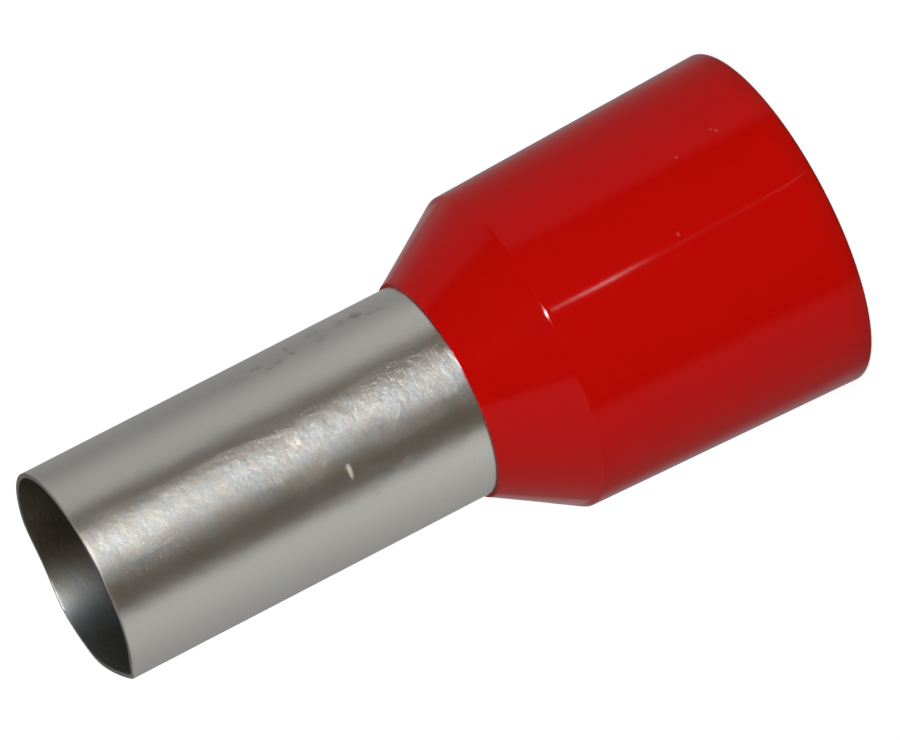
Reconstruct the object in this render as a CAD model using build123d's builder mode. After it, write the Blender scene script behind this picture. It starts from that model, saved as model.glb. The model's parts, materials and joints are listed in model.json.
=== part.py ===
from build123d import *
from math import cos, radians, sin
import os

# Insulated wire ferrule for a 35 square millimetre stranded wire. A thin tinned copper tube
# runs into a moulded plastic collar, where its end is flared like a trumpet and lies in a
# recessed seat. The wire's bare strands go through the collar into the tube, and the wire's
# insulation goes into the collar's skirt.
# The ferrule stands on the collar's mouth. The origin is the centre of that mouth, and +Z runs
# along the axis to the open end of the tube. All sizes are in millimetres and degrees.

# Lengths along the axis
overall_length = 30.8
tube_showing = 15.8
cone_length = 3.3

# Copper tube
tube_bore = 8.3
tube_wall = 0.2
tube_edge_chamfer = 0.05

# Flare at the tube's hidden end, measured on the middle of the wall
flare_bend_radius = 0.9
flare_angle = 40
flare_lip_length = 0.9

# Plastic collar
collar_wall = 0.4
shoulder_step = 2.18
skirt_draft = 0.4
front_edge_wall = 0.14
shoulder_round = 0.3
funnel_round = 0.4
rim_round = 0.12
rim_lead_in = 0.1

# Play between the tube's outside and the collar
seat_clearance = 0.02

# Tube radii, outside and at the middle of the wall
tube_radius = tube_bore / 2 + tube_wall
tube_mid_radius = tube_bore / 2 + tube_wall / 2

# Collar heights above its mouth
collar_length = overall_length - tube_showing
shoulder_height = collar_length - cone_length

# Collar radii, outside and then inside
front_radius = tube_radius + front_edge_wall
shoulder_radius = tube_radius + shoulder_step
mouth_radius = shoulder_radius + skirt_draft
grip_radius = tube_radius + seat_clearance
skirt_top_bore_radius = shoulder_radius - collar_wall
skirt_mouth_bore_radius = mouth_radius - collar_wall

# The flare's rim is level with the collar's outside shoulder
flare_sin = sin(radians(flare_angle))
flare_cos = cos(radians(flare_angle))
flare_height = (flare_bend_radius + tube_wall / 2) * flare_sin + flare_lip_length * flare_cos
bend_height = shoulder_height + flare_height

# The tube's outside follows the flare's bend on the inner side of the turn
outer_bend_radius = flare_bend_radius - tube_wall / 2
flare_reach = flare_bend_radius - outer_bend_radius * flare_cos + flare_lip_length * flare_sin
flare_rim_radius = tube_mid_radius + flare_reach

# The seat is concentric with the bend and as deep as the wall, so that the flare lies flush
seat_bend_radius = outer_bend_radius - seat_clearance
ledge_radius = flare_rim_radius + seat_clearance
ledge_depth = tube_wall / flare_sin

# Slope of the flare and of the funnel in the section, below the horizontal
funnel_slope = flare_angle - 90

# Tinned copper tube, made from one wall of even thickness that turns outward at its lower end
with BuildPart() as metal_tube:
    with BuildSketch(Plane.XZ) as tube_section:
        with BuildLine():
            barrel = Line((tube_mid_radius, overall_length), (tube_mid_radius, bend_height))
            bend = JernArc(barrel @ 1, barrel % 1, flare_bend_radius, flare_angle)
            lip = PolarLine(bend @ 1, flare_lip_length, funnel_slope)
        trace(line_width=tube_wall)
        open_end = tube_section.vertices().sort_by_distance(barrel @ 0)[0:2]
        flare_rim = tube_section.vertices().sort_by_distance(lip @ 1)[0:2]
        chamfer(open_end + flare_rim, tube_edge_chamfer)
    revolve(axis=Axis.Z)

# Plastic collar: a thin drafted skirt, a solid cone around the tube, and the funnel and
# recessed seat inside the cone
with BuildPart() as plastic_collar:
    with BuildSketch(Plane.XZ) as collar_section:
        with BuildLine():
            outside = Polyline(
                (skirt_mouth_bore_radius, 0),
                (mouth_radius, 0),
                (shoulder_radius, shoulder_height),
                (front_radius, collar_length),
                (grip_radius, collar_length),
            )
            grip = Line(outside @ 1, (grip_radius, bend_height))
            seat_bend = JernArc(grip @ 1, grip % 1, seat_bend_radius, flare_angle)
            seat = PolarLine(
                seat_bend @ 1,
                ledge_radius - (seat_bend @ 1).X,
                funnel_slope,
                length_mode=LengthMode.HORIZONTAL,
            )
            ledge = Line(seat @ 1, seat @ 1 - (0, ledge_depth))
            funnel = PolarLine(
                ledge @ 1,
                skirt_top_bore_radius - ledge_radius,
                funnel_slope,
                length_mode=LengthMode.HORIZONTAL,
            )
            Line(funnel @ 1, outside @ 0)
        make_face()
        shoulder = collar_section.vertices().sort_by_distance((shoulder_radius, shoulder_height))[0]
        fillet(shoulder, shoulder_round)
        funnel_foot = collar_section.vertices().sort_by_distance(funnel @ 1)[0]
        fillet(funnel_foot, funnel_round)
        inside_rim = collar_section.vertices().sort_by_distance(outside @ 0)[0]
        chamfer(inside_rim, rim_lead_in)
        outside_rim = collar_section.vertices().sort_by_distance((mouth_radius, 0))[0]
        fillet(outside_rim, rim_round)
    revolve(axis=Axis.Z)

# One file for each piece
metal_tube.part.label = "metal_tube"
plastic_collar.part.label = "plastic_collar"
os.makedirs("parts", exist_ok=True)
export_step(metal_tube.part, "parts/metal_tube.step")
export_step(plastic_collar.part, "parts/plastic_collar.step")
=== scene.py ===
# %% [markdown]
# # An insulated wire ferrule
# The ferrule is the small sleeve that is crimped on the end of a stranded wire. It has two
# pieces: a thin copper tube with a satin tin plating, and a glossy red plastic collar that the
# tube runs into. Both are round about one axis, and the ferrule stands on the collar's mouth.
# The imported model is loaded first. It gives the sizes and the places that everything below
# keeps to, in metres.

# %% Load the frame
import bmesh
import bpy
import json
from math import atan2, ceil, cos, degrees, pi, radians, sin, tan
from mathutils import Matrix, Vector


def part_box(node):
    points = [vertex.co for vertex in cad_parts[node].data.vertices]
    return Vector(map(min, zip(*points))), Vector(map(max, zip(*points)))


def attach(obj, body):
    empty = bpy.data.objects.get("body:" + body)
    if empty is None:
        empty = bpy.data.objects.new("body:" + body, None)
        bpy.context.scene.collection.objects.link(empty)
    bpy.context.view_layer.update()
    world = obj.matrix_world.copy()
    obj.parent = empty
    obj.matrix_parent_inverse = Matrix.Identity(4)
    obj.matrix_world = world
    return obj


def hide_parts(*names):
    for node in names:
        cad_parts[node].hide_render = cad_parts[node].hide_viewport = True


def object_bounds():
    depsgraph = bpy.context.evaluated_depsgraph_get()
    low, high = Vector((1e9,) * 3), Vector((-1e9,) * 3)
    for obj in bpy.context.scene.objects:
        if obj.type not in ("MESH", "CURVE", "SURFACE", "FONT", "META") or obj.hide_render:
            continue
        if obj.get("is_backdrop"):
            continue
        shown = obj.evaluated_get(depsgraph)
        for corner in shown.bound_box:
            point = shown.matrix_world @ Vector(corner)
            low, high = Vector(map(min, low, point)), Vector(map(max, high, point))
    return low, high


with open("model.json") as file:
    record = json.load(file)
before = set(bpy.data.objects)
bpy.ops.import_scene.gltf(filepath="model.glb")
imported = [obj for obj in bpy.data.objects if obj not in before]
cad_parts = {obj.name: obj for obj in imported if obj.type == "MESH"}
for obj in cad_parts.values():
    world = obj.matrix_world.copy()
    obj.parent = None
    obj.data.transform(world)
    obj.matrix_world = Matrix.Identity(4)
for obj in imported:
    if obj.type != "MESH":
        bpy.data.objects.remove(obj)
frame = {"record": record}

MM = 0.001
cad_low, cad_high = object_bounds()
tube_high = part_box("metal_tube")[1]
collar_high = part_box("plastic_collar")[1]
mount = {item["name"]: item for item in frame["record"]["mounts"]}
bore_radius = mount["wire_bore"]["dims"]["r_mm"] * MM
tube_radius = mount["terminal_end"]["dims"]["r_mm"] * MM
print("Box of the whole ferrule in mm:", [round(side / MM, 2) for side in cad_high - cad_low])

# %% [markdown]
# ## One section for each piece
# A turned piece is known by its section, the outline that one half of it shows when it is cut
# along the axis. Each outline is a short list of corners, given as a radius, a height and how
# much the corner is rounded. The radii and heights come from the frame where it holds them, and
# the walls and angles that the box can't show are named further down.
# A helper turns the corners into a closed chain of points. It puts an arc into each rounded
# corner and divides the straight stretches evenly, because the surface needs enough points along
# its length to take a slight unevenness later.

# %% Outline helper
ARC_STEP = radians(9)
FLAT_TURN = radians(0.5)


def corner_arc(before, corner, after, rounding):
    """Points of the arc that rounds one corner of an outline."""
    to_before = (before - corner).normalized()
    to_after = (after - corner).normalized()
    turn = pi - to_before.angle(to_after)
    if rounding == 0 or turn < FLAT_TURN:
        return [corner]
    reach = rounding * tan(turn / 2)
    start = corner + to_before * reach
    middle = (to_before + to_after).normalized()
    centre = corner + middle * (rounding / cos(turn / 2))
    steps = max(2, ceil(turn / ARC_STEP))
    spoke = start - centre
    side = -1 if to_before.cross(to_after) > 0 else 1
    return [centre + Matrix.Rotation(side * turn * i / steps, 2) @ spoke for i in range(steps + 1)]


def outline(corners, spacing):
    """Closed chain of (radius, height) points from corners of (radius, height, rounding)."""
    places = [Vector(corner[:2]) for corner in corners]
    count = len(corners)
    bends = [
        corner_arc(places[i - 1], places[i], places[(i + 1) % count], corners[i][2])
        for i in range(count)
    ]
    chain = []
    for i in range(count):
        chain += bends[i]
        start, end = bends[i][-1], bends[(i + 1) % count][0]
        pieces = ceil((end - start).length / spacing)
        chain += [start.lerp(end, j / pieces) for j in range(1, pieces)]
    return chain


square = [(1, 0, 0), (2, 0, 0), (2, 1, 0.2), (1, 1, 0)]
print("A unit square with one round corner becomes", len(outline(square, 0.5)), "points")

# %% [markdown]
# ## Nodes written as expressions
# The lathe and the finishes below are node trees. Their maths is easier to read as an expression
# than as a web of boxes. The class here wraps one socket, so that `a * 2 + b` adds the Math nodes
# by itself. Colours and vectors go through Vector Math and Mix, because a Math node turns a
# colour grey. The method `make` adds any other node from its type, its settings and its inputs.


# %% Node expressions
class Wire:
    """A node tree's socket that can be calculated with."""

    def __init__(self, tree, socket=None):
        self.tree = tree
        self.socket = socket

    def make(self, kind, settings=None, inputs=None, out=0):
        """Adds a node. Settings are set first, then inputs are linked or given their value."""
        node = self.tree.nodes.new(kind)
        for name, value in (settings or {}).items():
            if name == "stops":
                set_stops(node.color_ramp, value)
            else:
                setattr(node, name, value)
        for name, value in (inputs or {}).items():
            if isinstance(value, Wire):
                self.tree.links.new(value.socket, node.inputs[name])
            else:
                node.inputs[name].default_value = value
        return Wire(self.tree, node.outputs[out]) if len(node.outputs) else Wire(self.tree)

    def math(self, operation, *values):
        return self.make("ShaderNodeMath", {"operation": operation}, dict(enumerate(values)))

    def vector(self, operation, *values, out=0):
        settings = {"operation": operation}
        return self.make("ShaderNodeVectorMath", settings, dict(enumerate(values)), out)

    def __add__(self, other):
        return self.math("ADD", self, other)

    def __radd__(self, other):
        return self.math("ADD", other, self)

    def __sub__(self, other):
        return self.math("SUBTRACT", self, other)

    def __rsub__(self, other):
        return self.math("SUBTRACT", other, self)

    def __mul__(self, other):
        return self.math("MULTIPLY", self, other)

    def __rmul__(self, other):
        return self.math("MULTIPLY", other, self)

    def __truediv__(self, other):
        return self.math("DIVIDE", self, other)

    def __rtruediv__(self, other):
        return self.math("DIVIDE", other, self)

    def __mod__(self, other):
        return self.math("FLOORED_MODULO", self, other)

    def __rmod__(self, other):
        return self.math("FLOORED_MODULO", other, self)

    def scaled(self, x, y, z):
        """The vector with each axis multiplied by its own factor."""
        return self.vector("MULTIPLY", self, (x, y, z))

    def axes(self):
        """X, Y and Z of the vector."""
        first = self.make("ShaderNodeSeparateXYZ", {}, {0: self})
        return [Wire(self.tree, socket) for socket in first.socket.node.outputs]

    def between(self, start, end, low=0.0):
        """Runs from `low` where the value is `start` to 1 where it is `end`."""
        values = {"Value": self, "From Min": start, "From Max": end, "To Min": low}
        return self.make("ShaderNodeMapRange", {}, values)


def set_stops(colour_ramp, stops):
    """Gives a colour ramp its stops, each a position and a grey value or a colour."""
    while len(colour_ramp.elements) < len(stops):
        colour_ramp.elements.new(1)
    for element, (position, value) in zip(colour_ramp.elements, stops):
        element.position = position
        element.color = (value, value, value, 1) if isinstance(value, (int, float)) else value


example = bpy.data.node_groups.new("example", "GeometryNodeTree")
doubled = Wire(example).make("ShaderNodeValue") * 2 + 1
print("A value times 2 plus 1 takes", len(example.nodes), "nodes and", len(example.links), "links")
bpy.data.node_groups.remove(example)

# %% [markdown]
# ## The lathe, as Geometry Nodes
# Both pieces follow the same rule: one section turned once round the axis. A Spin or Screw
# modifier could do that, but a node tree can also let the wall wander by a few thousandths of a
# millimetre, as drawn sheet and moulded plastic do, and that is what makes reflections on a real
# tube waver.
# The tree makes a grid with one column for each step round the axis and one row for each point
# of the section. Every grid point looks up its place in the section, is turned to its angle, and
# is moved outward or inward by a soft noise that is the same on both sides of the wall. The first
# and last columns and rows coincide, so merging them by distance closes the surface.

# %% Lathe tree
MERGE_DISTANCE = 0.0005 * MM


def named_inputs(tree, sockets):
    """Gives a Geometry Nodes tree its inputs and returns each of them by its name."""
    for name, kind in sockets:
        tree.interface.new_socket(name, in_out="INPUT", socket_type="NodeSocket" + kind)
    given = tree.nodes.new("NodeGroupInput")
    return {socket.name: Wire(tree, socket) for socket in given.outputs if socket.name}


def wall_wander(turned, value):
    """Offset outward from the axis, looked up at one radius so both sides of the wall agree."""
    outward = turned.vector("NORMALIZE", turned.scaled(1, 1, 0))
    height = turned.scaled(0, 0, 1 / tube_high.x)
    uneven = turned.make(
        "ShaderNodeTexNoise",
        {"noise_dimensions": "4D"},
        {
            "Vector": turned.vector("ADD", outward, height),
            "W": value["Seed"],
            "Scale": value["Wander Scale"],
            "Detail": 2.0,
        },
    )
    push = (uneven - 0.5) * value["Wander"]
    return turned.make(
        "ShaderNodeVectorMath", {"operation": "SCALE"}, {0: outward, "Scale": push}
    )


def lathe_tree():
    """Geometry Nodes group that turns a section about Z and lets its wall wander slightly."""
    tree = bpy.data.node_groups.new("turn_section", "GeometryNodeTree")
    value = named_inputs(
        tree,
        [
            ("Section", "Geometry"),
            ("Steps Around", "Int"),
            ("Wander", "Float"),
            ("Wander Scale", "Float"),
            ("Seed", "Float"),
            ("Finish", "Material"),
        ],
    )
    tree.interface.new_socket("Piece", in_out="OUTPUT", socket_type="NodeSocketGeometry")
    start = Wire(tree)

    rows = start.make("GeometryNodeAttributeDomainSize", {}, {"Geometry": value["Section"]})
    counts = {"Vertices X": value["Steps Around"] + 1, "Vertices Y": rows + 1}
    grid = start.make("GeometryNodeMeshGrid", {}, counts)
    index = start.make("GeometryNodeInputIndex")
    row = index % (rows + 1) % rows
    column = start.math("FLOOR", index / (rows + 1)) % value["Steps Around"]
    place = start.make("GeometryNodeInputPosition")
    section_point = start.make(
        "GeometryNodeSampleIndex",
        {"data_type": "FLOAT_VECTOR"},
        {"Geometry": value["Section"], "Value": place, "Index": row},
    )
    turned = start.make(
        "ShaderNodeVectorRotate",
        {"rotation_type": "Z_AXIS"},
        {"Vector": section_point, "Angle": column / value["Steps Around"] * (2 * pi)},
    )
    moved = {"Geometry": grid, "Position": turned, "Offset": wall_wander(turned, value)}
    shaped = start.make("GeometryNodeSetPosition", {}, moved)
    near = {"Geometry": shaped, "Distance": MERGE_DISTANCE}
    closed = start.make("GeometryNodeMergeByDistance", {}, near)
    smooth = start.make("GeometryNodeSetShadeSmooth", {}, {"Geometry": closed})
    real = start.make("GeometryNodeRealizeInstances", {}, {"Geometry": smooth})
    finish = {"Geometry": real, "Material": value["Finish"]}
    painted = start.make("GeometryNodeSetMaterial", {}, finish)
    start.make("NodeGroupOutput", {}, {"Piece": painted})
    return tree


turn_section = lathe_tree()
print("Lathe tree:", len(turn_section.nodes), "nodes")

# %% [markdown]
# ## Using the lathe
# The tree is used through a modifier. Its inputs are set by their identifiers before Blender
# first evaluates the object. The evaluated result is then copied into a plain mesh, so that
# nothing live is left on the finished piece, and the faces are made to point outward.


# %% Turn a section into a piece
def made_plain(piece):
    """Puts the evaluated mesh in place of the section that the modifier works on."""
    section_mesh = piece.data
    graph = bpy.context.evaluated_depsgraph_get()
    mesh = bpy.data.meshes.new_from_object(piece.evaluated_get(graph), depsgraph=graph)
    piece.modifiers.clear()
    piece.data = mesh
    bpy.data.meshes.remove(section_mesh)
    mesh.name = piece.name
    return mesh


def faces_outward(mesh):
    """Turns every face outward and counts the edges that don't join two faces."""
    work = bmesh.new()
    work.from_mesh(mesh)
    bmesh.ops.recalc_face_normals(work, faces=work.faces)
    open_edges = sum(1 for edge in work.edges if not edge.is_manifold)
    work.to_mesh(mesh)
    work.free()
    return open_edges


def turned_piece(name, section, steps_around, wander, wander_scale, seed, finish):
    """Plain mesh object of a section turned about Z."""
    mesh = bpy.data.meshes.new(name)
    mesh.from_pydata([(point.x, 0, point.y) for point in section], [], [])
    piece = bpy.data.objects.new(name, mesh)
    bpy.context.scene.collection.objects.link(piece)
    lathe = piece.modifiers.new("lathe", "NODES")
    lathe.node_group = turn_section
    identifiers = {item.name: item.identifier for item in turn_section.interface.items_tree}
    lathe[identifiers["Steps Around"]] = steps_around
    lathe[identifiers["Wander"]] = wander
    lathe[identifiers["Wander Scale"]] = wander_scale
    lathe[identifiers["Seed"]] = seed
    lathe[identifiers["Finish"]] = finish
    made = made_plain(piece)
    open_edges = faces_outward(made)
    size = [round(side / MM, 2) for side in piece.dimensions]
    print(name, "faces:", len(made.polygons), "open edges:", open_edges, "size in mm:", size)
    return piece


# %% [markdown]
# ## Tools for the finishes
# Every finish below reads Object coordinates, turned into millimetres, so that a noise of scale 5
# has five features to the millimetre and stays where it is when the camera moves. Noise, colour
# ramps and mixes are used again and again and get a short helper each. Another helper gives the
# angle round the axis, 0 in front, and the distance from it, because on a turned piece most
# things are easier to place that way.


# %% Material helpers
def new_material(name):
    """Material with an empty tree, a start for its nodes and Object coordinates in mm."""
    material = bpy.data.materials.new(name)
    material.use_nodes = True
    tree = material.node_tree
    tree.nodes.clear()
    start = Wire(tree)
    place = start.make("ShaderNodeTexCoord", {}, {}, "Object").scaled(1 / MM, 1 / MM, 1 / MM)
    return material, start, place


def noise(place, scale, detail=2.0, roughness=0.5, stretch=(1, 1, 1)):
    """Noise with so many features to the millimetre, stretched by a factor for each axis."""
    values = {
        "Vector": place.scaled(*stretch),
        "Scale": scale,
        "Detail": detail,
        "Roughness": roughness,
    }
    return place.make("ShaderNodeTexNoise", {}, values)


def ramp(value, *stops):
    """Colour ramp of a value. Each stop is a position and a grey value or a colour."""
    return value.make("ShaderNodeValToRGB", {"stops": stops}, {"Fac": value})


def mix(factor, first, second):
    """Colour mix. Inputs 6 and 7 of the node are its two colours and output 2 is its colour."""
    colours = {"Factor": factor, 6: first, 7: second}
    return factor.make("ShaderNodeMix", {"data_type": "RGBA"}, colours, 2)


def round_axis(place):
    """Angle round the axis in degrees, 0 in front, and distance from the axis."""
    x, y = place.axes()[:2]
    angle = place.math("ARCTAN2", x, y * -1) * (180 / pi)
    return angle, place.math("SQRT", x * x + y * y)


def finish_material(start, shader):
    start.make("ShaderNodeOutputMaterial", {}, {"Surface": shader})


# %% [markdown]
# ## Facets and marks
# Tin sets in small flat crystals that each lean their own way, so a lamp breaks up in them into
# sparkles. Plain noise would give round bumps. A Voronoi texture gives cells instead: the way
# from a cell's middle to the point, multiplied with a random lean that the cell's own colour
# holds, is the height of a small tilted plane.
# A nick, a dent, a smudge or a speck of dust is one oval spot. A Mapping node of type Texture
# moves, turns and shrinks space until the spot is a ball of radius 1, and the distance from its
# middle fades into a soft mask.

# %% Facets and marks
MARK_DEPTH = 0.3
MARK_EDGE = 1.0
MARK_CORE = 0.4


def crystals(place, scale):
    """Height of flat facets that each lean their own way, and one random number for each."""
    cells = place.scaled(1.0, 1.0, 1.05)
    values = {"Vector": cells, "Scale": scale}
    colour = place.make("ShaderNodeTexVoronoi", {"feature": "F1"}, values, "Color")
    middle = Wire(place.tree, colour.socket.node.outputs["Position"])
    lean = place.vector("SUBTRACT", colour, (0.5, 0.5, 0.5)).scaled(1.2, 1.2, 1.0)
    away = place.vector("SUBTRACT", cells, middle)
    return place.vector("DOT_PRODUCT", away, lean, out="Value"), colour.axes()[0]


def mark(place, angle, height, around, along, slant=0.0, radius=tube_radius / MM):
    """Soft mask of one oval mark by its angle round the axis, height and half sizes in mm."""
    side = radians(angle)
    values = {
        "Vector": place,
        "Location": (radius * sin(side), -radius * cos(side), height),
        "Rotation": (0, radians(slant), side),
        "Scale": (around, MARK_DEPTH, along),
    }
    local = place.make("ShaderNodeMapping", {"vector_type": "TEXTURE"}, values)
    return place.vector("LENGTH", local, out="Value").between(MARK_EDGE, MARK_CORE)


# %% [markdown]
# ## Tinned copper
# The tube is drawn from thin copper sheet, cut, flared and then tin plated. The plating is a
# satin metal: it mirrors pale and dark surroundings with a soft edge, and it doesn't look the
# same all over. Where the tube was rubbed, on the side that lies in front, the facets stand out
# and their tint wanders between warm and cool. The other sides are smooth and even. The bore's
# colour holds painted shade and a painted reflection, and the cut edge is rougher than the skin.
# One function finds these zones as masks. The rubbed strip is a range of angles round the axis,
# and some noise added to the angle makes its border ragged.

# %% Zones of the tube
WALL_TOLERANCE = 0.02
BORE_TOLERANCE = 0.015
CUT_HEIGHT = 0.03
RUBBED_MIDDLE = 2
RUBBED_RAGGED = 24
RUBBED_EDGE = 26.0
RUBBED_CORE = 15.0
SMOOTH_SHARE = 0.3


def tube_zones(place, mottle):
    """Masks of the bore, of the cut edge and of the rubbed strip."""
    angle, reach = round_axis(place)
    height = place.axes()[2]
    in_bore = place.math("LESS_THAN", reach, bore_radius / MM + BORE_TOLERANCE)
    in_wall = place.math("LESS_THAN", reach, tube_radius / MM - WALL_TOLERANCE)
    at_end = place.math("GREATER_THAN", height, tube_high.z / MM - CUT_HEIGHT)
    on_cut = place.math("MAXIMUM", in_wall, at_end) * (1 - in_bore)
    aside = place.math("ABSOLUTE", angle - RUBBED_MIDDLE) + (mottle - 0.5) * RUBBED_RAGGED
    return in_bore, on_cut, aside.between(RUBBED_EDGE, RUBBED_CORE, SMOOTH_SHARE)


# %% [markdown]
# ### Its relief
# The relief is a sum of heights in thousandths of a millimetre: facets, a few smaller and much
# steeper flecks that flash, short strokes, a coarser mottle, and slow swells that let the long
# reflections waver. All but the swells are multiplied by the rubbed mask, and they grow weaker
# toward the open end. Displacing the mesh would need millions of faces for this, so one Bump
# node takes the sum.

# %% Relief of the tin
FACET_LEAN = 24
FLECK_LEAN = 110
FLECK_SHARE = 0.28
STROKE_HEIGHT = 15
MOTTLE_HEIGHT = 30
SWELL_HEIGHT = 24
BEAD_HEIGHT = 11
NICK_HEIGHT = 20
DENT_DEPTH = 6
GRAIN_AT_FOOT = 1.55
GRAIN_LOSS = 0.036


def tin_relief(place, mottle, facets, rubbed, in_bore):
    """Height of the plating in thousandths of a millimetre."""
    height = place.axes()[2]
    swells = noise(place, 0.55, 2.0) * SWELL_HEIGHT
    strokes = noise(place, 3.4, 1.0, 0.5, (1.0, 1.0, 1.1)) * STROKE_HEIGHT
    flecks, fleck_share = crystals(place, 7.5)
    steep = place.math("GREATER_THAN", fleck_share, 1 - FLECK_SHARE)
    beads = noise(place, 5.5, 1.0) * BEAD_HEIGHT
    grain = facets * FACET_LEAN + strokes + mottle * MOTTLE_HEIGHT
    grain = grain + steep * rubbed * flecks * FLECK_LEAN
    return grain * rubbed * (GRAIN_AT_FOOT - height * GRAIN_LOSS) + swells + in_bore * beads


# %% [markdown]
# ### Its colours
# Tin is a warm grey that drifts a little, more so in the rubbed strip. Oxide has left grey
# smudges on one side, listed here with their places, and noise tears their outline. The dent
# gets a share of the same grey as painted shade. The nick shows a trace of bare yellowish metal,
# the cut edge is darker, and the bore is painted dark brown as shade on one side and blue-grey as
# a cool reflection on the other.

# %% Colours of the tin
# Smudges on the tube: angle, height, half sizes round and along the tube in mm, strength
SMUDGES = [
    (65.0, 17.05, 0.45, 0.35, 0.9), (60.0, 16.6, 0.25, 0.2, 0.6), (58.5, 16.15, 0.2, 0.3, 0.35),
    (65.0, 17.7, 0.4, 0.4, 0.4), (69.0, 18.8, 0.5, 0.45, 0.45), (59.5, 18.75, 0.35, 0.3, 0.35),
    (66.0, 20.0, 0.3, 0.15, 0.8), (59.0, 20.0, 0.2, 0.2, 0.7), (58.0, 20.6, 0.25, 0.3, 0.5),
    (61.5, 21.4, 0.22, 0.35, 0.8), (56.0, 20.95, 0.15, 0.35, 0.6), (57.5, 22.25, 0.3, 0.5, 0.35),
    (39.7, 23.5, 0.14, 0.08, 0.5), (-33.0, 19.9, 0.06, 0.25, 0.4),
]
# Grey of the oxide smudges, also laid into the dent as painted shade
SMUDGE_AND_SHADE_GREY = (0.2, 0.195, 0.175, 1)
SCRAPED_COLOUR = (0.5, 0.455, 0.36, 1)
CUT_COLOUR = (0.46, 0.44, 0.41, 1)
# Painted light in the bore: dark brown stands in for shade, blue-grey for a cool reflection
BORE_SHADE_BROWN = (0.3, 0.25, 0.18, 1)
BORE_REFLECTION_BLUE = (0.27, 0.3, 0.32, 1)


def smudged_and_shaded(place, smudges):
    """Share of grey, from the listed oxide smudges and from what is given, here painted shade in the
    dent.
    """
    for side, height, around, along, strength in SMUDGES:
        smudges = smudges + mark(place, side, height, around, along) * strength
    torn = noise(place, 4.0, 2.0, 0.6).between(0.4, 0.6, 0.2)
    return place.math("MINIMUM", smudges * torn, 1.0)


def tin_colour(place, rubbed, in_bore, on_cut, nick, dent):
    """Base colour of the plating from its zones and marks, with painted shade in the dent and painted
    shade and reflection in the bore.
    """
    cloud = noise(place, 2.2, 3.0, 0.6)
    even = ramp(
        cloud,
        (0.32, (0.552, 0.524, 0.492, 1)),
        (0.5, (0.54, 0.53, 0.497, 1)),
        (0.68, (0.528, 0.535, 0.51, 1)),
    )
    tinted = ramp(
        noise(place, 2.4, 2.0),
        (0.36, (0.58, 0.525, 0.465, 1)),
        (0.5, (0.545, 0.53, 0.5, 1)),
        (0.64, (0.51, 0.53, 0.535, 1)),
    )
    plating = mix(rubbed - SMOOTH_SHARE, even, tinted)
    # Painted shade: the dent takes 0.4 of the smudge grey
    surface = mix(smudged_and_shaded(place, dent * 0.4) * 0.7, plating, SMUDGE_AND_SHADE_GREY)
    scraped = mix(nick, surface, SCRAPED_COLOUR)
    # Painted light in the bore: brown shade toward +X turning into a blue-grey reflection toward -X
    bore_shade_to_reflection = (place.axes()[0] + cloud * 3).between(3.0, 0.0)
    return mix(in_bore, mix(on_cut, scraped, CUT_COLOUR), mix(bore_shade_to_reflection, BORE_SHADE_BROWN, BORE_REFLECTION_BLUE))


# %% [markdown]
# ### The shader
# A metallic Principled shader puts the zones, the relief and the colours together. Its roughness
# stays in a narrow range on the outside, because a satin metal is even, and each facet takes its
# own small share of it. Only the cut edge, the bore and the nick are clearly rougher.

# %% Tinned copper material
SATIN_ROUGHNESS = 0.277
FACET_ROUGHNESS = 0.02
CUT_ROUGHNESS = 0.2
BORE_ROUGHNESS = 0.33
NICK_ROUGHNESS = 0.25


def tinned_copper():
    material, start, place = new_material("tinned_copper")
    mottle = noise(place, 1.6, 2.0, 0.45)
    facets, facet_share = crystals(place, 5.0)
    in_bore, on_cut, rubbed = tube_zones(place, mottle)
    nick = mark(place, -15.6, 20.55, 0.34, 0.11, 4)
    dent = mark(place, -42.7, 15.85, 0.14, 0.06, 12)
    relief = tin_relief(place, mottle, facets, rubbed, in_bore)
    relief = relief + nick * NICK_HEIGHT - dent * DENT_DEPTH
    bump = {"Strength": 1.0, "Distance": 0.001 * MM, "Height": relief}
    outside = SATIN_ROUGHNESS + facet_share * FACET_ROUGHNESS + on_cut * CUT_ROUGHNESS
    roughness = outside + in_bore * (BORE_ROUGHNESS - outside) + nick * NICK_ROUGHNESS
    values = {
        "Base Color": tin_colour(place, rubbed, in_bore, on_cut, nick, dent),
        "Metallic": 1 - nick * 0.75,
        "Roughness": roughness,
        "Normal": start.make("ShaderNodeBump", {}, bump),
    }
    finish_material(start, start.make("ShaderNodeBsdfPrincipled", {}, values))
    return material


tin = tinned_copper()
print("Tinned copper:", len(tin.node_tree.nodes), "nodes,", len(SMUDGES), "smudges")

# %% [markdown]
# ## Red moulded plastic
# The collar is injection moulded in polypropylene with a red pigment. Its mould was polished, so
# the skin is glossy, and it shows the room as a faint reflection that grows toward the edges.
# The Principled shader does that by itself with a low roughness. The pigment is a little uneven,
# and the skin has the very shallow waves that shrinkage leaves. A painted shade darkens the
# mouth's edge where it stands on the floor, and a few specks of dust lie on the collar.

# %% Red plastic material
RED_DEEP = (0.45, 0.0012, 0.0004, 1)
RED_CLEAR = (0.48, 0.0016, 0.0006, 1)
# Painted shade: the dark red that the mouth's edge fades to where it stands on the floor
RED_PAINTED_SHADE = (0.1, 0.01, 0.005, 1)
DUST_COLOUR = (0.6, 0.4, 0.36, 1)
# Specks of dust: angle, height, radius of the skirt there, half sizes round and along, strength
DUST = [
    (32.9, 4.2, 6.79, 0.08, 0.09, 1.0), (9.3, 5.8, 6.73, 0.13, 0.07, 1.0),
    (34.7, 2.3, 6.85, 0.12, 0.07, 1.0), (36.1, 2.45, 6.85, 0.1, 0.09, 0.6),
]


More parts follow.
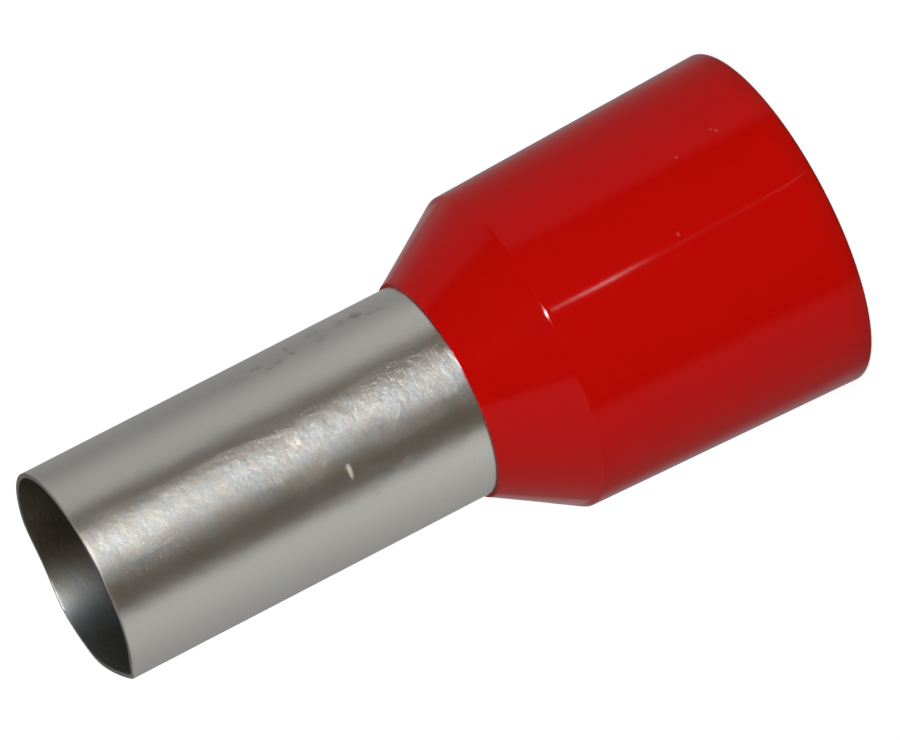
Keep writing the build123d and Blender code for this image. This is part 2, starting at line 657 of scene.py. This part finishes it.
def red_colour(place):
    """Pigment with painted shade at its foot and the dust on it."""
    pigment = mix(noise(place, 0.5, 3.0, 0.6), RED_DEEP, RED_CLEAR)
    # Painted shade: the colour is darkest right at the floor, mostly gone by 0.13 mm up and fully by
    # 0.9 mm
    foot_shade = ramp(place.axes()[2], (0.02, 1.0), (0.13, 0.22), (0.9, 0.0))
    dust = 0.0
    for side, height, radius, around, along, strength in DUST:
        dust = mark(place, side, height, around, along, radius=radius) * strength + dust
    return mix(dust * 0.12, mix(foot_shade, pigment, RED_PAINTED_SHADE), DUST_COLOUR)


def red_plastic():
    material, start, place = new_material("red_plastic")
    waves = noise(place, 0.6, 1.0)
    skin = noise(place, 5.0, 2.0)
    bump = {"Strength": 1.0, "Distance": 0.002 * MM, "Height": waves + skin * 0.12}
    values = {
        "Base Color": red_colour(place),
        "Roughness": 0.065 + skin * 0.04,
        "Specular IOR Level": 0.22,
        "Normal": start.make("ShaderNodeBump", {}, bump),
    }
    finish_material(start, start.make("ShaderNodeBsdfPrincipled", {}, values))
    return material


plastic = red_plastic()
print("Red plastic:", len(plastic.node_tree.nodes), "nodes,", len(DUST), "specks of dust")

# %% [markdown]
# ## The metal tube
# The tube's section is a thin wall that runs straight down and then turns outward in the flare,
# like a trumpet's bell. Its two sides are concentric in the bend, so the sheet keeps its
# thickness there. The corners of the flare are worked out from the bend, because an outline
# wants the point where two straight sides would meet.

# %% Section of the tube
tube_wall = tube_radius - bore_radius
flare_angle = radians(40)
flare_bend_outside = 0.8 * MM
flare_bend_inside = flare_bend_outside + tube_wall
flare_lip = 0.9 * MM
tube_edge_round = 0.018 * MM

top = tube_high.z
shoulder_height = collar_high.z - 3.3 * MM
flare_middle_bend = (flare_bend_outside + flare_bend_inside) / 2
bend_height = (
    shoulder_height
    + (flare_middle_bend + tube_wall / 2) * sin(flare_angle)
    + flare_lip * cos(flare_angle)
)
lip_direction = Vector((sin(flare_angle), -cos(flare_angle)))


def flare_corner(radius, bend):
    """Where the tube's straight side and the flare's side would meet without the bend."""
    return Vector((radius, bend_height - bend * tan(flare_angle / 2)))


def flare_end(corner, bend):
    """End of the flare's side that starts in this corner."""
    return corner + lip_direction * (bend * tan(flare_angle / 2) + flare_lip)


outside_corner = flare_corner(tube_radius, flare_bend_outside)
inside_corner = flare_corner(bore_radius, flare_bend_inside)
outside_lip = flare_end(outside_corner, flare_bend_outside)
inside_lip = flare_end(inside_corner, flare_bend_inside)
tube_section = outline(
    [
        (bore_radius, top, tube_edge_round),
        (tube_radius, top, tube_edge_round),
        (*outside_corner, flare_bend_outside),
        (*outside_lip, tube_edge_round),
        (*inside_lip, tube_edge_round),
        (*inside_corner, flare_bend_inside),
    ],
    0.16 * MM,
)
print("Tube section:", len(tube_section), "points, lip at radius", round(outside_lip.x / MM, 2), "mm")

# %% [markdown]
# The open end comes from a shear and is only just deburred. It isn't quite square: on two sides
# it lies a little lower. That is done after turning, by moving the upper points down, most at the
# end and less and less below it, so that the wall isn't squeezed in one place.

# %% Metal tube
CUT_REACH = 1.5 * MM


def lower_cut(mesh, side, width, depth):
    """Lowers the tube's open end softly round one side, given as an angle, by so much."""
    for vertex in mesh.vertices:
        angle = degrees(atan2(vertex.co.x, -vertex.co.y))
        apart = abs((angle - side + 180) % 360 - 180) / width
        near_top = 1 - (top - vertex.co.z) / CUT_REACH
        if apart < 1 and near_top > 0:
            vertex.co.z -= depth * (0.5 + 0.5 * cos(pi * apart)) * near_top


tube = turned_piece("tinned_tube", tube_section, 240, 0.012 * MM, 4.0, 3.0, tin)
lower_cut(tube.data, side=167, width=32, depth=0.12 * MM)
lower_cut(tube.data, side=260, width=38, depth=0.3 * MM)
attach(tube, "root")
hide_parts("metal_tube")

# %% [markdown]
# ## The plastic collar
# The collar's section goes once round the moulding: up the outside of the skirt, over the
# shoulder and the cone to the thin front edge, down the grip around the tube, along the seat of
# the flare, over the ledge that its rim lies in, down the funnel and back down the inside of the
# skirt. The seat follows the tube's flare at a small clearance, and the funnel goes on in line
# with the flare's inside, so that strands slide in without meeting a step.

# %% Plastic collar
collar_wall = 0.4 * MM
front_edge_wall = 0.14 * MM
seat_clearance = 0.008 * MM
mouth_radius = tube_radius + 2.58 * MM
shoulder_radius = tube_radius + 2.18 * MM
grip_radius = tube_radius + seat_clearance
ledge_radius = outside_lip.x + seat_clearance
seat_bend = flare_bend_outside - seat_clearance
seat_corner = flare_corner(grip_radius, seat_bend)
seat_foot = seat_corner + lip_direction * ((ledge_radius - seat_corner.x) / sin(flare_angle))
ledge_foot = seat_foot - Vector((0, tube_wall / sin(flare_angle)))
skirt_top_bore = shoulder_radius - collar_wall
funnel_foot = ledge_foot + lip_direction * ((skirt_top_bore - ledge_radius) / sin(flare_angle))
collar_section = outline(
    [
        (mouth_radius - collar_wall, 0, 0.1 * MM),
        (mouth_radius, 0, 0.12 * MM),
        (shoulder_radius, shoulder_height, 0.24 * MM),
        (tube_radius + front_edge_wall, collar_high.z, 0.06 * MM),
        (grip_radius, collar_high.z, 0.01 * MM),
        (*seat_corner, seat_bend),
        (*seat_foot, 0.02 * MM),
        (*ledge_foot, 0.04 * MM),
        (*funnel_foot, 0.4 * MM),
    ],
    0.2 * MM,
)
collar = turned_piece("moulded_collar", collar_section, 288, 0.01 * MM, 2.0, 8.0, plastic)
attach(collar, "root")
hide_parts("plastic_collar")

# %% [markdown]
# ## Camera
# The photograph looks at the standing ferrule from a little above the floor with the camera
# turned on its side, so the tube points to the lower left. A long lens at a third of a metre
# keeps the perspective as weak as it is there. The place of the picture's centre is given from
# the middle of the ferrule, to the right and upward in the picture.

# %% Camera
CAMERA_DISTANCE = 333.5 * MM
CAMERA_ABOVE = radians(15.39)
CAMERA_ROLL = radians(-117.22)
PICTURE_WIDTH = 33.895 * MM
CENTRE_RIGHT = 1.145 * MM
CENTRE_UP = 1.13 * MM
FERRULE_MIDDLE = Vector((0, 0, 15.8 * MM))

camera_data = bpy.data.cameras.new("camera")
camera_data.sensor_width = 36
camera_data.lens = camera_data.sensor_width * CAMERA_DISTANCE / PICTURE_WIDTH
camera_data.clip_start = 0.05
camera_data.clip_end = 10
camera = bpy.data.objects.new("camera", camera_data)
bpy.context.scene.collection.objects.link(camera)
turn = Matrix.Rotation(pi / 2 - CAMERA_ABOVE, 3, "X") @ Matrix.Rotation(CAMERA_ROLL, 3, "Z")
right, up, back = turn.col
camera.rotation_euler = turn.to_euler()
camera.location = FERRULE_MIDDLE + right * CENTRE_RIGHT + up * CENTRE_UP + back * CAMERA_DISTANCE
bpy.context.scene.camera = camera
bpy.context.scene.view_settings.view_transform = "Standard"
print("Lens in mm:", round(camera_data.lens, 1))

# %% [markdown]
# ## Floor
# The ferrule stands on a plain white floor. The floor adds a little light of its own for the
# camera alone, so that it comes out white while the shadow on it still shows and the object gets
# no light from it that isn't there. A small helper sweeps any floor, wall or strip round the
# axis, because the surroundings further down are round as well.


# %% Floor
def turned_stage(name, section, material, middle=0.0, width=360.0):
    """Stage mesh of (radius, height) points in mm, swept over an angle round the axis."""
    steps = max(1, ceil(width / 3.75))
    points = []
    for i in range(steps + 1):
        angle = radians(middle + width * (i / steps - 0.5))
        points += [(r * sin(angle) * MM, -r * cos(angle) * MM, z * MM) for r, z in section]
    rows = len(section)
    faces = []
    for i in range(steps):
        for j in range(rows - 1):
            a = i * rows + j
            faces.append((a, a + 1, a + rows + 1, a + rows))
    mesh = bpy.data.meshes.new(name)
    mesh.from_pydata(points, [], faces)
    mesh.materials.append(material)
    thing = bpy.data.objects.new(name, mesh)
    bpy.context.scene.collection.objects.link(thing)
    thing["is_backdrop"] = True
    return thing


FLOOR_LIFT = 0.68


def white_floor():
    material, start, place = new_material("white_floor")
    seen = start.make("ShaderNodeLightPath", {}, {}, "Is Camera Ray")
    diffuse = start.make("ShaderNodeBsdfDiffuse", {}, {"Color": (0.8, 0.8, 0.8, 1)})
    glow = {"Color": (1, 1, 1, 1), "Strength": seen * FLOOR_LIFT}
    lift = start.make("ShaderNodeEmission", {}, glow)
    finish_material(start, start.make("ShaderNodeAddShader", {}, {0: diffuse, 1: lift}))
    return material


floor = turned_stage("floor", [(0.001, 0), (50, 0), (300, 0), (1500, 0)], white_floor())
floor.visible_glossy = False
print("Floor:", len(floor.data.polygons), "faces")

# %% [markdown]
# ## Sky and lamp
# A large round lamp in front of the ferrule, near the camera, and a weaker even sky light it
# softly, at a level where a colour comes out about as it is written. For the camera the sky is
# plain white. The lamp itself isn't mirrored, because the metal gets surroundings of its own.

# %% Sky and lamp
SKY_LIGHT = 0.43
KEY_PLACE = Vector((0.03, -0.63, 0.13))
KEY_AIM = Vector((0, 0, 0.015))

world = bpy.data.worlds.new("sky")
world.use_nodes = True
world.node_tree.nodes.clear()
sky = Wire(world.node_tree)
seen = sky.make("ShaderNodeLightPath", {}, {}, "Is Camera Ray")
sky_values = {"Color": (1, 1, 1, 1), "Strength": SKY_LIGHT + seen * (1 - SKY_LIGHT)}
sky_light = sky.make("ShaderNodeBackground", {}, sky_values)
sky.make("ShaderNodeOutputWorld", {}, {"Surface": sky_light})
bpy.context.scene.world = world

key_data = bpy.data.lights.new("key_lamp", "AREA")
key_data.shape = "DISK"
key_data.size = 0.4
key_data.energy = 3.0
key = bpy.data.objects.new("key_lamp", key_data)
bpy.context.scene.collection.objects.link(key)
key.location = KEY_PLACE
key.rotation_euler = (KEY_AIM - KEY_PLACE).to_track_quat("-Z", "Y").to_euler()
key.visible_glossy = False
print("Lamp:", key_data.energy, "W,", round(key_data.size, 2), "m across. Sky:", SKY_LIGHT)

# %% [markdown]
# ## The room that the metal mirrors
# What a shiny tube shows is its surroundings. In the photograph they are pale at the sides and
# dark in front, with one lamp in the dark part. Here they are surfaces round the ferrule which
# only mirrored rays see, so they light nothing and cast no shadow. What counts is the direction
# in which the metal sees them, so each is painted with light by the angle round the axis.
# A ray starts on the surface and not on the axis, so it lands at a slightly smaller angle than
# the one it left in. A helper works out the angle in which it left. Painted by that angle, a
# band on the tube stays straight from end to end.

# %% Mirrored light
CLOTH = (0.098, 0.069, 0.038, 1)
FRONT_CLOTH = (0.09, 0.07, 0.04, 1)
LAMP = (0.5, 0.575, 0.64, 1)
LAMP_EDGE = (0.54, 0.56, 0.57, 1)
LAMP_FOOT = (0.55, 0.62, 0.7, 1)


def by_angle(angle, stops):
    """Colour ramp over the angle round the axis, from -180 to 180 degrees."""
    return ramp(angle / 360 + 0.5, *[(degree / 360 + 0.5, value) for degree, value in stops])


def left_angle(angle, reach, radius):
    """Angle in which a ray left a round surface that lands at this angle and distance."""
    return angle * (reach * 2) / (reach * 2 - radius / MM)


def mirrored_light(name, paint, sampling="NONE", one_sided=False):
    """Shining material, painted by the angle round the axis and the distance from it."""
    material, start, place = new_material(name)
    colour = paint(*round_axis(place))
    light = start.make("ShaderNodeEmission", {}, {"Color": colour, "Strength": 1.0})
    if one_sided:
        behind = start.make("ShaderNodeNewGeometry", {}, {}, "Backfacing")
        clear = start.make("ShaderNodeBsdfTransparent")
        light = start.make("ShaderNodeMixShader", {}, {0: behind, 1: light, 2: clear})
    finish_material(start, light)
    material.cycles.emission_sampling = sampling
    return material


def mirrored_only(thing):
    """Hides a stage surface from everything but mirrored rays."""
    thing.visible_camera = False
    thing.visible_diffuse = False
    thing.visible_shadow = False
    thing.visible_transmission = False
    thing.visible_volume_scatter = False
    print("Mirrored only:", thing.name, "with", len(thing.data.polygons), "faces")


# %% [markdown]
# ### Floor and wall, for the collar
# The collar's skirt leans a little, so it mirrors the floor near the ferrule, and the cone above
# it mirrors the wall and the ceiling. Both stay dim, because red plastic mirrors only a small
# part of what falls on it and looks clean and deep that way.

# %% Mirrored floor and wall
ROOM = 400
BELOW = -1
NEAR_FLOOR = [
    (-180, 0.28), (-165, 0.3), (-145, 0.17), (-120, 0.22), (-96, 0.28), (-66, 0.34),
    (-58, FRONT_CLOTH), (60, FRONT_CLOTH), (68, 0.33), (96, 0.27), (120, 0.22), (145, 0.23),
    (165, 0.3), (180, 0.28),
]
WALL = [
    (-180, 0.1), (-150, 0.25), (-110, 0.36), (-60, 0.42), (-44, 0.42), (-36, FRONT_CLOTH),
    (84, FRONT_CLOTH), (92, 0.28), (125, 0.28), (145, 0.34), (165, 0.14), (180, 0.1),
]


def wall_colour(angle, reach):
    return by_angle(angle, WALL)


def floor_colour(angle, reach):
    near = by_angle(left_angle(angle, reach, mouth_radius), NEAR_FLOOR)
    return mix(reach.between(70.0, 250.0), near, by_angle(angle, WALL))


floor_section = [(4, BELOW), (70, BELOW), (ROOM, BELOW)]
wall_section = [(ROOM, BELOW), (ROOM, ROOM), (1, ROOM)]
floor_light = mirrored_light("mirrored_floor_light", floor_colour)
wall_light = mirrored_light("mirrored_wall_light", wall_colour)
mirrored_only(turned_stage("mirrored_floor", floor_section, floor_light))
mirrored_only(turned_stage("mirrored_wall", wall_section, wall_light))

# %% [markdown]
# ### A ring, for the tube
# The tube stands upright and mirrors what lies outward and below it. A flat ring just above the
# shoulder takes the floor's place there and carries the pale sides, the dark front and the lamp.
# It is see-through from below, so the skirt under it never mirrors it, and its light can follow
# the tube alone. The lamp's glow is added to the ring's own light and fades with the distance.

# %% Mirrored ring
RING = shoulder_height / MM + 0.2
RING_SIDES = [
    (-180, 0.9), (-174, 0.36), (-164, 0.42), (-140, 0.53), (-116, 0.64), (-92, 0.79),
    (-66, 0.93), (-60, 0.85), (-52, CLOTH), (56, CLOTH), (62, 0.7), (78, 0.75), (88, 0.73),
    (100, 0.6), (112, 0.48), (124, 0.41), (148, 0.46), (164, 0.42), (174, 0.34), (180, 0.9),
]
RING_LAMP = [(-13, 0.0), (-6, LAMP_FOOT), (5, LAMP), (15, LAMP), (30, LAMP_EDGE), (38, 0.0)]


def ring_colour(angle, reach):
    left_in = left_angle(angle, reach, tube_radius)
    gain = ramp(reach / 100, (0.2, 0.96), (0.45, 0.86), (0.75, 0.88))
    fade = ramp(reach / 100, (0.2, 0.8), (0.45, 0.69), (0.75, 0.64))
    sides = reach.vector("MULTIPLY", by_angle(left_in, RING_SIDES), gain)
    return reach.vector("MULTIPLY_ADD", by_angle(left_in, RING_LAMP), fade, sides)


ring_section = [(7, RING), (70, RING), (ROOM, RING)]
ring_light = mirrored_light("mirrored_ring_light", ring_colour, one_sided=True)
mirrored_only(turned_stage("mirrored_ring", ring_section, ring_light))

# %% [markdown]
# ## The highlight on the collar
# The highlight is a thin line along the skirt that ends in a bright spot on the shoulder. A
# narrow strip on the floor and a tall narrow card far behind it make them. The strip starts
# under the skirt and runs straight away from it, which keeps the line straight, and its light
# changes along its length as the line's does.

# %% Strip and card
STRIP_FOOT = radians(8.6)
STRIP_SIDE = 12.5
STRIP_WIDTH = 1.8
CARD_SIDE = 13.0
CARD_WIDTH = 18.0
ALONG_STRIP = [
    (0.03, 1.5), (0.14, 0.45), (0.5, 0.45), (0.58, 7.0), (0.64, 13.0), (0.68, 12.0),
    (0.71, 8.5), (0.745, 9.0), (0.775, 4.0), (0.9, 3.0),
]
ACROSS_CARD = [(-7, 0.0), (-2.4, 1.5), (-1.9, 100.0), (1.9, 100.0), (2.4, 1.5), (9, 0.0)]


def strip_colour(angle, reach):
    return ramp(reach / 60, *ALONG_STRIP)


def card_colour(angle, reach):
    return by_angle(angle, [(CARD_SIDE + apart, value) for apart, value in ACROSS_CARD])


strip_section = [(0.4, 0.2), (25, 0.2), (55, 0.2)]
strip_light = mirrored_light("strip_light", strip_colour, "FRONT_BACK")
strip = turned_stage("strip", strip_section, strip_light, STRIP_SIDE, STRIP_WIDTH)
strip.location = (mouth_radius * sin(STRIP_FOOT), -mouth_radius * cos(STRIP_FOOT), 0)
card_light = mirrored_light("card_light", card_colour, "FRONT_BACK")
card = turned_stage("card", [(380, 35), (380, 330)], card_light, CARD_SIDE, CARD_WIDTH)
mirrored_only(strip)
mirrored_only(card)

# %% [markdown]
# ## Sizes and finish
# How much larger the dressed ferrule's box is than the imported model's box is printed, so the two
# can be compared.

# %% Write the sizes and finish
low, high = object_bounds()
larger = (high - low) - (cad_high - cad_low)
print("Larger than the packed model's box by, in mm:", [round(side / MM, 4) for side in larger])
